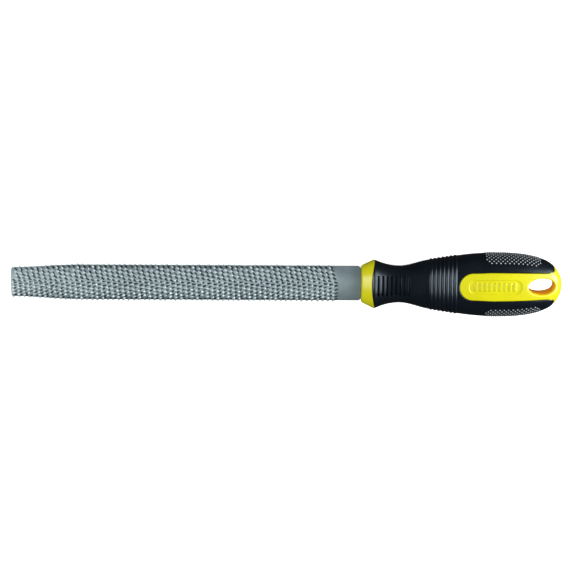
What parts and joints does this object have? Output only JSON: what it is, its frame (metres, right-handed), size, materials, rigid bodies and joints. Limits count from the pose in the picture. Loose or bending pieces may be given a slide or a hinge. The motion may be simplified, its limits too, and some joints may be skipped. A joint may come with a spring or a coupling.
{
  "type": "wood rasp",
  "caption": "Half-round wood rasp: a toothed steel blade with a bare heel, in a two-colour moulded handle with thumb ribs, grip wings and a hanging hole.",
  "frame": {"origin": "on the tool's centre line, midway along its whole length", "axes": "+X along the tool from the blade's tip to the end of the handle, +Y across the blade, +Z square to the flat face and out of the half-round face"},
  "size_m": [0.3146, 0.037, 0.0256],
  "materials": {
    "blade_steel": "stitched teeth, satin bare heel, faint blue-grey tint",
    "yellow_plastic": "semi-gloss moulded lemon yellow",
    "black_rubber": "satin blue-black soft moulding"
  },
  "bodies": {
    "root": {"rasp_blade": "blade_steel", "handle_core": "yellow_plastic", "soft_grip": "black_rubber"}
  },
  "joints": []
}
